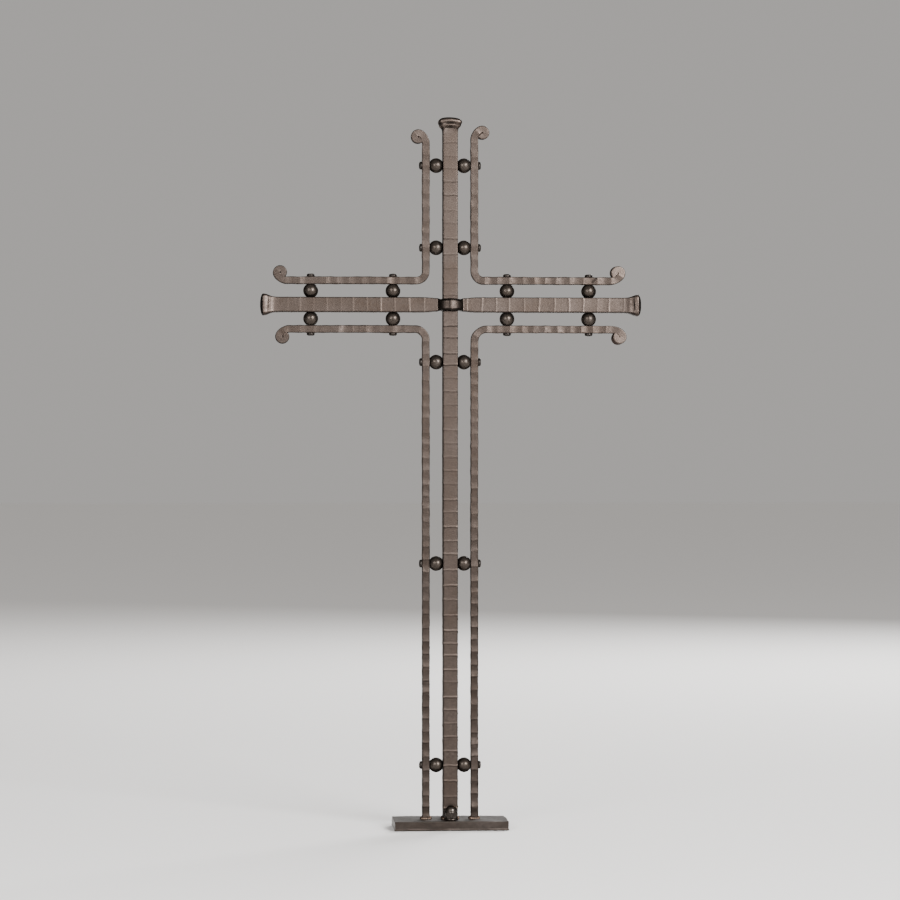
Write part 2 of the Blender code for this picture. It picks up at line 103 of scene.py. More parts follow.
def round_edges(points, low, high, radius):
    """Move points of a block's skin onto its rounded edges: each keeps the nearest point
    of the block shrunk by the radius, and stands the radius away from it."""
    core = np.clip(points, low + radius, high - radius)
    out = points - core
    out /= np.linalg.norm(out, axis=1, keepdims=True)
    return core + radius * out, out


def add_piece(name, points, faces, finish, slot, *nodes, **shades):
    """Make a piece from points and faces, with its shades stored as point attributes, and
    let it stand for its CAD nodes, where it has any."""
    mesh = bpy.data.meshes.new(name)
    mesh.from_pydata(points.tolist(), [], faces if isinstance(faces, list) else faces.tolist())
    mesh.materials.append(finish)
    mesh.shade_smooth()
    for shade, values in shades.items():
        layer = mesh.attributes.new(shade, "FLOAT", "POINT")
        layer.data.foreach_set("value", np.clip(values, 0.0, 1.0).ravel())
    piece = bpy.data.objects.new(name, mesh)
    bpy.context.scene.collection.objects.link(piece)
    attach(piece, "root")
    if nodes:
        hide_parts(*nodes)
    return piece


def plug(tree, socket, value):
    """Link a socket to another one, or set it to a plain value."""
    if isinstance(value, bpy.types.NodeSocket):
        tree.links.new(value, socket)
    else:
        socket.default_value = value


def add_node(tree, kind, **sockets):
    """Add a shader node, and set or link its sockets by name."""
    made = tree.nodes.new("ShaderNode" + kind)
    for key, value in sockets.items():
        plug(tree, made.inputs[key.replace("_", " ")], value)
    return made


def mix_colour(tree, share, first, second):
    """Blend two colours by a share, each of them a socket or a colour."""
    mixer = tree.nodes.new("ShaderNodeMix")
    mixer.data_type = "RGBA"
    for index, value in ((0, share), (6, first), (7, second)):
        plug(tree, mixer.inputs[index], value)
    return mixer.outputs[2]


def forged_iron(name, tone, roughness, metallic=0.9, patch=0.045, mottle=0.0042,
                grain=0.00003, rim=0.3):
    """Waxed forge finish on iron, all on object coordinates.  The tone goes from brown to
    pale over broad patches of scale and drops in a fine mottle, then painted shade and soot
    darken it and painted highlights and wear pale it.  The mottle and a grain five times
    finer stand in low relief."""
    finish = bpy.data.materials.new(name)
    finish.use_nodes = True
    tree = finish.node_tree
    shader = tree.nodes["Principled BSDF"]
    place = tree.nodes.new("ShaderNodeTexCoord").outputs["Object"]

    def noise(scale, detail, rough):
        return add_node(tree, "TexNoise", Vector=place, Scale=scale, Detail=detail,
                        Roughness=rough).outputs["Fac"]

    def stretch(value, low, high, **to):
        return add_node(tree, "MapRange", Value=value, From_Min=low, From_Max=high,
                        **to).outputs["Result"]

    def shade(stored):
        reader = tree.nodes.new("ShaderNodeAttribute")
        reader.attribute_name = stored
        return reader.outputs["Fac"]

    def toned(share):
        return (*(np.array(tone) * share), 1.0)

    patches = noise(1 / patch, 2.0, 0.5)
    specks = noise(1 / mottle, 3.0, 0.55)
    pores = noise(5 / mottle, 3.0, 0.6)
    colour = mix_colour(tree, stretch(patches, 0.32, 0.68), toned(SCALE_BROWN), toned(SCALE_PALE))
    colour = mix_colour(tree, stretch(specks, 0.30, 0.70), toned(SPECK_SHARE), colour)
    # Painted shade and soot darken the colour, and painted highlights and wear pale it.
    colour = mix_colour(tree, shade("soot"), colour, toned(SHADE_AND_SOOT_SHARE))
    colour = mix_colour(tree, shade("rubbed"), colour, toned(HIGHLIGHT_AND_WEAR_SHARE))
    gloss = stretch(specks, 0.30, 0.70, To_Min=roughness + DULLER, To_Max=roughness - GLOSSIER)
    coarse = add_node(tree, "Bump", Height=specks, Distance=3 * grain, Strength=1.0)
    relief = add_node(tree, "Bump", Height=pores, Distance=grain, Strength=1.0,
                      Normal=coarse.outputs["Normal"])
    for socket, value in (("Base Color", colour), ("Metallic", metallic),
                          ("Specular Tint", (rim, rim, rim, 1.0)), ("Roughness", gloss),
                          ("Normal", relief.outputs["Normal"])):
        plug(tree, shader.inputs[socket], value)
    return finish


plate_low, plate_high = map(np.array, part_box("base_plate"))
PLATE_TOP = plate_high[2]
plate_lines = [stations_across(low, high, PLATE_CELL, PLATE_EDGE)
               for low, high in zip(plate_low, plate_high)]
plate_points, plate_faces = block_skin(plate_lines)
plate_points, plate_out = round_edges(plate_points, plate_low, plate_high, PLATE_EDGE)
uneven = PLATE_WAVE * (ripple(plate_points, PLATE_WAVE_PITCH, 1) - 1)
uneven += PLATE_DENT * ripple(plate_points, PLATE_DENT_PITCH, 2)
uneven *= plate_points[:, 2] > plate_low[2] + PLATE_EDGE
corner_wear = 1 - np.abs(plate_out).max(axis=1)
plate_points += plate_out * uneven[:, None]
worn = PLATE_WEAR + PLATE_WEAR_PATCHES * ripple(plate_points, PLATE_WEAR_PITCH, 3)
PLATE_FINISH = forged_iron("plate_finish", PLATE_TONE, 0.38, patch=0.035, rim=1.0)
add_piece("hammered_plate", plate_points, plate_faces, PLATE_FINISH, "plate_iron", "base_plate",
          rubbed=corner_wear * worn)

# Upright bar
# A square bar drawn down and dressed with the hammer, which leaves a row of flats with a
# low ridge between each two.  Its top end is upset hot into a head that mushrooms over.
FLAT_POINTS, ARC_POINTS = 9, 3
MAIN_CELL, HEAD_CELL = 0.00075, 0.00035
MAIN_HALF = 0.0105
MAIN_CORNER, HEAD_CORNER, HEAD_CORNER_FADE = 0.0013, 0.0042, 1.5
MAIN_PITCH, MAIN_HOLLOW = 0.0192, 0.00007
MAIN_RIDGE, RIDGE_WIDTH = 0.00022, 0.0009
# The ranges of a blow's length, depth and level and of a ridge's strength, the two parts of
# a hollow's form, and the place and width of the line of painted shade behind a ridge.
BLOW_LENGTHS, BLOW_DEPTHS, BLOW_LEVELS = (0.84, 1.16), (0.5, 1.3), (-1.0, 0.6)
RIDGE_CRESTS = (0.3, 1.3)
HOLLOW_ARC, HOLLOW_SINE = 1.6, 0.6
BEHIND_PLACE, BEHIND_WIDTH = 1.5, 0.8
BAR_WOBBLE, BAR_WOBBLE_PITCH = 0.0006, 0.016
FINE_WOBBLE, FINE_WOBBLE_PITCH = 0.5, 0.0055
LINE_SHOWN, LINE_BREAKS, LINE_BREAK_PITCH, LINE_MOST = 0.75, 0.6, 0.007, 1.5
RIVET_REACH = 0.0085
MAIN_TONE = (0.0790, 0.0610, 0.0515)
# Painted shade along the bars' edges, and the least edge share where a flat ends.
PAINTED_EDGE_SHADE, EDGE_SOFT = 0.72, 0.55
EDGE_GONE, EDGE_RISE = 0.84, 0.12
CROWN, CROWN_STEPS, CROWN_TIP, CROWN_LEAST = 0.0036, 12, 0.000004, 1e-6
DOME_MARGIN, DOME_REACH, DOME_SIDES = 0.005, 0.016, (1.0, 0.5)
HEAD_NOISE_LENGTH, HEAD_NOISE_HALF, HEAD_NOISE_PITCH = 0.4, 0.011, 0.012
# Painted shade on a bar's end, stronger a little way in, and on the middle point of its end cap.
PAINTED_END_SHADE, PAINTED_END_SHADE_MORE, PAINTED_END_SHADE_RISE, PAINTED_CAP_SHADE = 0.55, 0.40, 0.0007, 0.55
HEAD_LINE_WAVE, HEAD_LINE_FADE = 0.6, 0.7
TOP_HEAD_LENGTH, TOP_HEAD_CROWN, TOP_HEAD_CORNERS = 0.0215, 0.20, 1.5
TOP_HEAD_DOME, TOP_HEAD_SHIFT = 0.0021, (-0.0014, 0.0)
# The form of the head, with lines across it: distance from the end, height, width, the
# painted shade or painted highlight that the line carries, and how much of it.
TOP_HEAD = dict(
    spread=0.0055, middle=0.0120, soft=(0.0009, 0.0018), arch=0.0018, wave=0.0006, end_shade_reach=0.0019,
    lines=((0.0043, 0.0007, 0.0014, "rubbed", 0.80), (0.0083, -0.0018, 0.0018, "soot", 1.00),
           (0.0116, 0.0006, 0.0012, "rubbed", 0.70), (0.0147, -0.0006, 0.0011, "soot", 1.00)),
)
TOP_MARKS_START, MARKS_RISE = 1.1, 0.010
LOW_START, LOW_RISE = 0.60, 0.30
UPRIGHT_RELIEF, UPRIGHT_LOW_RELIEF = 0.8, 0.7
# Painted shade behind the ridges and towards the foot, and painted highlight on the ridges, more of it low
# down.
UPRIGHT_DARK, UPRIGHT_LOW_SHADE = 0.75, 0.22
UPRIGHT_LIGHT, UPRIGHT_LOW_LIGHT = 0.04, 0.46


def square_section(flat_points, arc_points):
    """One turn round a square with round corners, its points closer together near them, as
    arrays over its points: the place on the flat part, from -1 to 1 both ways, the way out,
    how much of each of the four sides it belongs to, the square of how far from the middle
    of its side it is, and how much of an edge it is, which is the squared sine of twice the
    angle of the way out, and at least the soft share from where a flat ends."""
    quarter = np.arange(4) * math.pi / 2
    normal = np.stack([np.cos(quarter), np.sin(quarter)], axis=-1)
    along = np.stack([-np.sin(quarter), np.cos(quarter)], axis=-1)
    even = np.linspace(-math.pi / 2, math.pi / 2, flat_points)
    share = np.concatenate([np.sin(even), np.ones(arc_points)])
    bend = np.concatenate([np.zeros(flat_points), np.arange(1, arc_points + 1) / (arc_points + 1)])
    place = (normal[:, None] + share[:, None] * along[:, None]).reshape(-1, 2)
    angle = (quarter[:, None] + bend * math.pi / 2).ravel()
    out = np.stack([np.cos(angle), np.sin(angle)], axis=-1)
    belongs = np.clip(out @ normal.T, 0.0, None) ** 2
    aside = (belongs * (place @ along.T) ** 2).sum(axis=1)
    past_flat = np.isclose(np.abs(place).min(axis=1), 1.0)
    edge = np.maximum(4 * out[:, 0] ** 2 * out[:, 1] ** 2, EDGE_SOFT * past_flat)
    return place, out, belongs, aside, edge


def hammer_marks(along, pitch, hollow, ridge, rng):
    """Height of one hammered side at each point, given its station along the bar.  At a
    share t of the way between two ridges, a blow leaves a hollow, its depth times an arc
    t (1 - t) and the squared sine of pi t.  Each ridge is a narrow bell curve that stands
    at its own level.  The bell and one behind it come too, for the painted highlight on a
    ridge and the painted shade behind it."""
    low, high = along.min() - 2 * pitch, along.max() + 2 * pitch
    steps = pitch * rng.uniform(*BLOW_LENGTHS, int((high - low) / pitch / BLOW_LENGTHS[0]) + 3)
    marks = low + np.cumsum(steps) - steps[0]
    index = np.clip(np.searchsorted(marks, along) - 1, 0, len(marks) - 2)
    length = marks[index + 1] - marks[index]
    share = (along - marks[index]) / length
    depth = hollow * rng.uniform(*BLOW_DEPTHS, len(marks))
    level = hollow * rng.uniform(*BLOW_LEVELS, len(marks))
    crest = rng.uniform(*RIDGE_CRESTS, len(marks))
    nearest = np.where(share < 0.5, index, index + 1)
    distance = along - marks[nearest]
    sunk = HOLLOW_ARC * share * (1 - share) + HOLLOW_SINE * np.sin(math.pi * share) ** 2
    flat = (1 - share) * level[index] + share * level[index + 1] - depth[index] * sunk
    top = crest[nearest] * np.exp(-(distance / RIDGE_WIDTH) ** 2)
    past = (distance + BEHIND_PLACE * RIDGE_WIDTH) / (BEHIND_WIDTH * RIDGE_WIDTH)
    behind = crest[nearest] * np.exp(-past ** 2)
    return flat + ridge * top, top, behind


def outward_step(points, halves):
    """1 where triangles face outwards, and -1 where they face inwards, from the sign of
    the volume that they hold."""
    a, b, c = (points[halves[:, index]] for index in range(3))
    return 1 if np.einsum("ij,ij->", a, np.cross(b, c)) > 0 else -1


def skin(rings):
    """Points and faces over a stack of rings, each end closed to the middle of its ring,
    with the faces turned outwards."""
    count, size = rings.shape[:2]
    corner = np.arange(count * size).reshape(count, size)
    after = np.roll(corner, -1, axis=1)
    walls = np.stack([corner[:-1], after[:-1], after[1:], corner[1:]], axis=-1).reshape(-1, 4)
    points = np.vstack([rings.reshape(-1, 3), rings[0].mean(axis=0), rings[-1].mean(axis=0)])
    first = np.stack([after[0], corner[0], np.full(size, count * size)], axis=-1)
    last = np.stack([corner[-1], after[-1], np.full(size, count * size + 1)], axis=-1)
    way = outward_step(points, np.vstack([walls[:, :3], walls[:, [0, 2, 3]], first, last]))
    return points, [face[::way] for face in walls.tolist() + first.tolist() + last.tolist()]


def rings_on_path(path, side, half_side, half_back, corner, section, swell=0.0):
    """Rings of a rounded square along a path.  Side is the section's level direction at
    each station, half_side and half_back its reach along that and to the back, corner the
    radius of its corners, and swell how much further out each point stands."""
    place, out = section[:2]
    first = place[:, 0] * (half_side - corner) + out[:, 0] * (corner + swell)
    second = place[:, 1] * (half_back - corner) + out[:, 1] * (corner + swell)
    to_back = np.array([0.0, 1.0, 0.0])
    return path[:, None] + np.atleast_2d(side)[:, None] * first[..., None] + to_back * second[..., None]


def bar_relief(stations, section, half, pitch, hollow, ridge, calm, seed):
    """Hammer marks on all four sides of a bar, as height, line of painted highlight and line
    of painted shade.  Each side has marks of its own, weighted by how much a point belongs to
    it.  The ridges wobble and their lines break up with smooth noise, and calm is how far the
    two sides that can meet a ball or a rivet head are dressed flat."""
    place = half * section[0]
    places = np.stack(np.broadcast_arrays(stations[:, None], place[:, 0], place[:, 1]), axis=-1)
    wobble = BAR_WOBBLE * (ripple(places, BAR_WOBBLE_PITCH, seed)
                           + FINE_WOBBLE * ripple(places, FINE_WOBBLE_PITCH, seed + 100))
    broken = LINE_SHOWN + LINE_BREAKS * ripple(places, LINE_BREAK_PITCH, seed + 200)
    broken = np.clip(broken, 0.0, LINE_MOST)
    rng = np.random.default_rng(seed)
    height, light, dark = (np.zeros(wobble.shape) for _ in range(3))
    for side in range(4):
        marks, top, behind = hammer_marks(places[..., 0] + wobble, pitch, hollow, ridge, rng)
        height += section[2][:, side] * marks * (1 - calm * (side % 2 == 0))
        light += section[2][:, side] * top * broken
        dark += section[2][:, side] * behind * broken
    return height, light, dark


def near_rivets(path, level_leg):
    """How near each point of a path is to a rivet through it, exp(-(distance / reach)^6).
    A level leg is met by upright rivets, and a rising one by level rivets."""
    axis = 0 if level_leg else 2
    nearness = np.zeros(len(path))
    for rivet in (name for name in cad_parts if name.startswith("rivet_")):
        low, high = map(np.array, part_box(rivet))
        upright_rivet = high[2] - low[2] > high[0] - low[0]
        if upright_rivet == level_leg:
            distance = path[:, axis] - (low + high)[axis] / 2
            nearness = np.maximum(nearness, np.exp(-(distance / RIVET_REACH) ** 6))
    return nearness[:, None]


def head_form(distance, section, seed, spread, middle, soft, arch, wave, end_shade_reach, lines):
    """How far an upset head stands out at a distance d from its end, and the painted shade
    and painted highlights on it.  It flares as spread / (1 + exp((d - middle) / w)), where w
    goes from one soft value in the middle of a side to the other at its corners, and d is
    bowed by the arch and wavy.  Painted shade darkens the end, as exp(-(d / r)^4) with r its
    given reach, and each line is a ridge or a crack across the head, a bell curve that
    weakens towards the corners and carries the painted highlight or painted shade given for it."""
    aside = section[3]
    around = HEAD_NOISE_HALF * section[0].T
    places = np.stack(np.broadcast_arrays(distance * HEAD_NOISE_LENGTH, *around), axis=-1)
    wave = wave * ripple(places, HEAD_NOISE_PITCH, seed)
    bowed = distance - arch * aside + wave
    form = spread / (1 + np.exp((bowed - middle) / (soft[0] + (soft[1] - soft[0]) * aside)))
    end_soot = PAINTED_END_SHADE + PAINTED_END_SHADE_MORE * np.clip(distance / PAINTED_END_SHADE_RISE, 0.0, 1.0)
    end_soot = end_soot * np.exp(-(np.abs(distance) / end_shade_reach) ** 4)
    marks = {"soot": np.broadcast_to(end_soot, bowed.shape), "rubbed": np.zeros(bowed.shape)}
    for place, height, width, shade, amount in lines:
        bell = np.exp(-((bowed - place + HEAD_LINE_WAVE * wave) / width) ** 2)
        bell = bell * (1 - HEAD_LINE_FADE * aside)
        form += height * bell
        marks[shade] = marks[shade] + amount * bell
    return form, marks["soot"], marks["rubbed"]


def head_corners(distance, length, start):
    """Radius of a bar's corners near its head: the head's own as far as the start reaches,
    and from there it falls evenly with the distance to the plain bar's."""
    share = np.clip(start - HEAD_CORNER_FADE * distance / length, 0, 1)
    return MAIN_CORNER + (HEAD_CORNER - MAIN_CORNER) * share


def crown_share(distance, dome):
    """How much of its full width a bar has near its end: (1 - (1 - d / crown)^2) ^ dome,
    so that a small dome is a flat end and a half is a round one."""
    rise = np.clip(1 - distance / CROWN, 0.0, 1.0)
    return np.clip(1 - rise ** 2, CROWN_LEAST, 1.0) ** dome


def edge_share(narrowed):
    """How far a ring still lies on the bar's edges, from 1 at its full width to 0 on the
    end face, where a ring has narrowed."""
    return np.clip((narrowed - EDGE_GONE) / EDGE_RISE, 0.0, 1.0)


def low_share(height):
    """How far down a point is, from 0 where the lower part starts to 1 below its rise."""
    return np.clip((LOW_START - height) / LOW_RISE, 0.0, 1.0)


def dome_end(rings, axis, end, dome, shift):
    """Bow the end of a bar into a dome: each point near it moves back by the dome times the
    squares of how far aside it is both ways, measured from a little off the middle."""
    others = [other for other in range(3) if other != axis]
    middle = rings.mean(axis=1)[:1, others]
    aside = (rings[..., others] - middle - shift) / (MAIN_HALF + DOME_MARGIN)
    inwards = np.sign(rings[..., axis].mean() - end)
    near = np.clip(1 - np.abs(rings[..., axis] - end) / DOME_REACH, 0.0, 1.0)
    rings[..., axis] += inwards * dome * near * (aside ** 2 * DOME_SIDES).sum(axis=-1)


def crowded_stations(start, end, head):
    """Stations from the plain bar to its very end, closer on the head and on its crown."""
    way = math.copysign(1.0, end - start)
    count = max(2, round(abs(end - start - way * head) / MAIN_CELL))
    plain = np.linspace(start, end - way * head, count)
    flank = np.arange(head, CROWN, -HEAD_CELL)
    crown = CROWN * (1 - np.sin(np.linspace(0.0, math.pi / 2, CROWN_STEPS)))
    crown[-1] = CROWN_TIP
    return np.concatenate([plain[:-1], end - way * flank, end - way * crown])


MAIN_SECTION = square_section(FLAT_POINTS, ARC_POINTS)
MAIN_FINISH = forged_iron("main_bar_finish", MAIN_TONE, 0.36, grain=0.000022)
cross_low, cross_high = map(np.array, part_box("cross_bar"))
CROSSING = (cross_low[2] + cross_high[2]) / 2
upright_low, upright_high = map(np.array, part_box("upright_bar"))
levels = crowded_stations(upright_low[2], upright_high[2], TOP_HEAD_LENGTH)
upright_path = levels[:, None] * [0.0, 0.0, 1.0]
from_top = (upright_high[2] - levels)[:, None]
relief, light, dark = bar_relief(levels, MAIN_SECTION, MAIN_HALF, MAIN_PITCH, MAIN_HOLLOW,
                                 MAIN_RIDGE, near_rivets(upright_path, False), 31)
head, head_soot, head_highlight = head_form(from_top, MAIN_SECTION, 4, **TOP_HEAD)
on_bar = np.clip((from_top - TOP_MARKS_START * TOP_HEAD_LENGTH) / MARKS_RISE, 0.0, 1.0)
low_down = low_share(levels)[:, None]
full_half = MAIN_HALF + head + relief * on_bar * (UPRIGHT_RELIEF + UPRIGHT_LOW_RELIEF * low_down)
narrowed = crown_share(from_top, TOP_HEAD_CROWN)
corner_radius = head_corners(from_top, TOP_HEAD_LENGTH, TOP_HEAD_CORNERS)
upright_rings = rings_on_path(upright_path, [1.0, 0.0, 0.0], full_half * narrowed,
                              full_half * narrowed, corner_radius * narrowed, MAIN_SECTION)
dome_end(upright_rings, 2, upright_high[2], TOP_HEAD_DOME, TOP_HEAD_SHIFT)
upright_points, upright_faces = skin(upright_rings)
# Painted shade on the head, behind the ridges, towards the foot and along the edges, and painted highlight
# on the head and ridges.
upright_soot = (head_soot + dark * on_bar * UPRIGHT_DARK + UPRIGHT_LOW_SHADE * low_down
                + PAINTED_EDGE_SHADE * MAIN_SECTION[4] * edge_share(narrowed))
upright_highlight = head_highlight + light * on_bar * (UPRIGHT_LIGHT + UPRIGHT_LOW_LIGHT * low_down)
add_piece("forged_upright", upright_points, upright_faces, MAIN_FINISH, "main_bar_iron",
          "upright_bar", soot=np.append(upright_soot, [0, PAINTED_CAP_SHADE]),
          rubbed=np.append(upright_highlight, [0, 0]))

# Cross bar
# A square bar like the upright, upset at both ends.  Its middle is split hot and drifted
# open, so that it swells round the upright, which was pushed through it.
SIDE_HEAD_LENGTH, SIDE_HEAD_CROWN, SIDE_HEAD_CORNERS = 0.0220, 0.46, 1.3
LEFT_HEAD_DOME, RIGHT_HEAD_DOME = 0.0006, 0.0018
SIDE_HEAD = dict(soft=(0.0024, 0.0027), arch=0.0004, wave=0.0009, end_shade_reach=0.0033)
LEFT_HEAD = dict(
    SIDE_HEAD, spread=0.0047, middle=0.0118,
    lines=((0.0112, -0.00030, 0.0005, "soot", 0.70), (0.0165, 0.0, 0.0060, "rubbed", 0.03),
           (0.0072, 0.0, 0.0030, "rubbed", 0.05)),
)
RIGHT_HEAD = dict(
    SIDE_HEAD, spread=0.0041, middle=0.0134,
    lines=((0.0044, 0.0009, 0.0008, "rubbed", 1.00), (0.0070, 0.0, 0.0012, "rubbed", 0.15),
           (0.0114, -0.0011, 0.0018, "soot", 0.75), (0.0200, 0.0, 0.0070, "soot", 0.30)),
)
CROSS_MARKS_START = 0.7
# Painted shade behind the cross bar's ridges and painted highlight on them.
CROSS_DARK, CROSS_LIGHT = 0.12, 0.22
EYE_LENGTH, EYE_ARCH, EYE_TAPER = 0.036, 0.8, 0.020
EYE_SIDE = (cross_high[1] - cross_low[1]) / 2
EYE_HALVES = ((0.0, 0.00895), (0.55, 0.0084), (0.76, 0.0077), (1.0, 0.0092))
EYE_CORNER, EYE_CORNER_RISE, EYE_MARKS_RISE = 0.0034, 4, 4
EYE_CREASE, EYE_CREASE_PLACE, EYE_CREASE_WIDTH = 0.00022, -0.0014, 0.0006
EYE_SWELL, EYE_SWELL_PLACE, EYE_SWELL_WIDTH = 0.00040, -0.0002, 0.0030
# Painted shade over the eye, more left of its crease, in the crease and on its flanks.
EYE_SHADE, EYE_LEFT_SHADE, EYE_CREASE_SHADE = 0.44, 0.24, 0.4
EYE_FLANK_SHADE, EYE_FLANK_START, EYE_FLANK_RISE = 0.46, 0.28, 0.65
EYE_HOLE_HALF, EYE_HOLE_REACH = MAIN_HALF + 0.0003, 0.02

left_part = crowded_stations(0.0, cross_low[0], SIDE_HEAD_LENGTH)[::-1]
right_part = crowded_stations(0.0, cross_high[0], SIDE_HEAD_LENGTH)
stations = np.concatenate([left_part, right_part[1:]])
cross_path = np.stack([stations, stations * 0, stations * 0 + CROSSING], axis=-1)
relief, light, dark = bar_relief(stations, MAIN_SECTION, MAIN_HALF, MAIN_PITCH, MAIN_HOLLOW,
                                 MAIN_RIDGE, near_rivets(cross_path, True), 32)
stations = stations[:, None]
from_end = np.where(stations < 0, stations - cross_low[0], cross_high[0] - stations)
eye_share = np.abs(stations) / (EYE_LENGTH / 2)
inside_eye = eye_share < 1
arch = np.clip(1 - eye_share ** 2, 0.0, 1.0) ** EYE_ARCH
crease = np.exp(-((stations - EYE_CREASE_PLACE) / EYE_CREASE_WIDTH) ** 2)
swell = np.exp(-((stations - EYE_SWELL_PLACE) / EYE_SWELL_WIDTH) ** 2) - 1
eye_depth = (MAIN_HALF + (EYE_SIDE - MAIN_HALF) * arch - EYE_CREASE * crease
             + EYE_SWELL * swell * inside_eye)
beyond = np.clip((np.abs(stations) - EYE_LENGTH / 2) / EYE_TAPER, 0.0, 1.0)
eye_end = EYE_HALVES[-1][1]
tapered = eye_end + (MAIN_HALF - eye_end) * (3 * beyond ** 2 - 2 * beyond ** 3)
height_half = np.where(inside_eye, np.interp(eye_share, *zip(*EYE_HALVES)), tapered)
plain = np.clip((from_end - CROSS_MARKS_START * SIDE_HEAD_LENGTH) / MARKS_RISE, 0.0, 1.0)
plain = plain * np.clip((eye_share - 1) * EYE_MARKS_RISE, 0.0, 1.0)
left_head = head_form(stations - cross_low[0], MAIN_SECTION, 7, **LEFT_HEAD)
right_head = head_form(cross_high[0] - stations, MAIN_SECTION, 8, **RIGHT_HEAD)
head, head_soot, head_highlight = (np.where(stations < 0, *pair) for pair in zip(left_head, right_head))
narrowed = crown_share(from_end, SIDE_HEAD_CROWN)
eye_corner = MAIN_CORNER + (EYE_CORNER - MAIN_CORNER) * np.clip(arch * EYE_CORNER_RISE, 0, 1)
corner_radius = head_corners(from_end, SIDE_HEAD_LENGTH, SIDE_HEAD_CORNERS)
corner_radius = np.where(inside_eye, eye_corner, corner_radius)
cross_rings = rings_on_path(cross_path, [0.0, 0.0, 1.0],
                            (height_half + head + relief * plain) * narrowed,
                            (eye_depth + head + relief * plain) * narrowed,
                            corner_radius * narrowed, MAIN_SECTION)
dome_end(cross_rings[:len(left_part)], 0, cross_low[0], LEFT_HEAD_DOME, (0.0, 0.0))
dome_end(cross_rings[len(left_part):], 0, cross_high[0], RIGHT_HEAD_DOME, (0.0, 0.0))
cross_points, cross_faces = skin(cross_rings)
# Painted shade on the eye: all over it, more left of the crease, on the flanks and in the crease.
left_of_crease = np.clip((EYE_CREASE_PLACE - stations) / (2 * EYE_CREASE_WIDTH), 0.0, 1.0)
on_flank = np.clip((eye_share - EYE_FLANK_START) / EYE_FLANK_RISE, 0, 1)
eye_soot = inside_eye * (EYE_SHADE + EYE_LEFT_SHADE * left_of_crease + EYE_FLANK_SHADE * on_flank
                         + EYE_CREASE_SHADE * crease)
# Painted shade on the heads, on the eye, behind the ridges and along the edges, and painted highlight on the
# heads and ridges.
cross_soot = (head_soot + eye_soot + dark * plain * CROSS_DARK
              + PAINTED_EDGE_SHADE * MAIN_SECTION[4] * edge_share(narrowed))
cross_highlight = head_highlight + light * plain * CROSS_LIGHT
cross_piece = add_piece("forged_cross_bar", cross_points, cross_faces, MAIN_FINISH,
                        "main_bar_iron", "cross_bar",
                        soot=np.append(cross_soot, [PAINTED_CAP_SHADE, PAINTED_CAP_SHADE]),
                        rubbed=np.append(cross_highlight, [0, 0]))


def cut_away(piece, low, high):
    """Cut a block out of a piece, and leave the finished mesh on it."""
    points, faces = block_skin([np.array([start, end]) for start, end in zip(low, high)])
    mesh = bpy.data.meshes.new("cut")
    mesh.from_pydata(points.tolist(), [], faces.tolist())
    cutter = bpy.data.objects.new("cut", mesh)
    bpy.context.scene.collection.objects.link(cutter)
    cut = piece.modifiers.new("cut", "BOOLEAN")
    cut.object = cutter
    cut.solver = "EXACT"
    graph = bpy.context.evaluated_depsgraph_get()
    piece.data = bpy.data.meshes.new_from_object(piece.evaluated_get(graph))
    piece.modifiers.clear()
    bpy.data.objects.remove(cutter)
    piece.data.set_sharp_from_angle(angle=math.radians(50))


cut_away(cross_piece, (-EYE_HOLE_HALF, -EYE_HOLE_HALF, CROSSING - EYE_HOLE_REACH),
         (EYE_HOLE_HALF, EYE_HOLE_HALF, CROSSING + EYE_HOLE_REACH))

# Side bars
# Four thinner square bars, hammered all over and bent hot at a right angle round the
# crossing.  Their free ends are drawn down a little and rolled up tight.
SIDE_CELL = 0.0010
SIDE_HALF, SIDE_OFFSET = 0.0055, 0.034
SIDE_CORNER, SIDE_CORNER_CHANGE, SIDE_CORNER_PITCH, SIDE_CORNER_MOST = 0.0012, 0.25, 0.03, 0.9
SIDE_PITCH, SIDE_HOLLOW, SIDE_RIDGE = 0.0180, 0.00052, 0.00008
SIDE_CALM, SIDE_LOW_CALM = 0.4, 0.4
# Painted shade behind the ridges, more of it low down, and towards the foot and in its hollows; painted
# highlight on the ridges.
SIDE_DARK, SIDE_LOW_DARK, SIDE_LOW_SHADE, SIDE_HOLLOW_SHADE = 0.16, 0.6, 0.14, 0.2
SIDE_LIGHT, SIDE_LOW_LIGHT = 0.10, 0.08
SIDE_TONE = (0.0710, 0.0550, 0.0465)
ROLL_LEAD_RADIUS, ROLL_LEAD_TURN, ROLL_EYE_RADIUS = 0.0200, math.radians(95), 0.0001
ROLL_STEPS, ROLL_TAPER_END, ROLL_LEAN_TURN = 110, 0.965, 2.2
ROLL_THINNED, ROLL_FLATTER = 0.0006, 0.65
# Painted shade on the inside of a roll.
ROLL_INSIDE, ROLL_INSIDE_SHADE = 0.7, 0.9
NOSE, NOSE_RINGS, NOSE_TURN, NOSE_BLUNT = 0.00125, 7, 1.48, 0.75
# How the depth thins to the nose, and the size and rise of the painted shade at the roll's thin tip.
NOSE_FULL, NOSE_LEAST, NOSE_SHADE_SIZE, NOSE_SHADE_RISE = 0.0075, 0.25, 0.002, 0.006
# Two ends of a slanting seam, over the crossing, then its front, its margin and its width.
SEAM_START, SEAM_END = np.array([0.1995, 0.0320]), np.array([0.2065, 0.0390])
SEAM_FRONT, SEAM_MARGIN, SEAM_WIDTH = -0.003, 0.0005, 0.0012
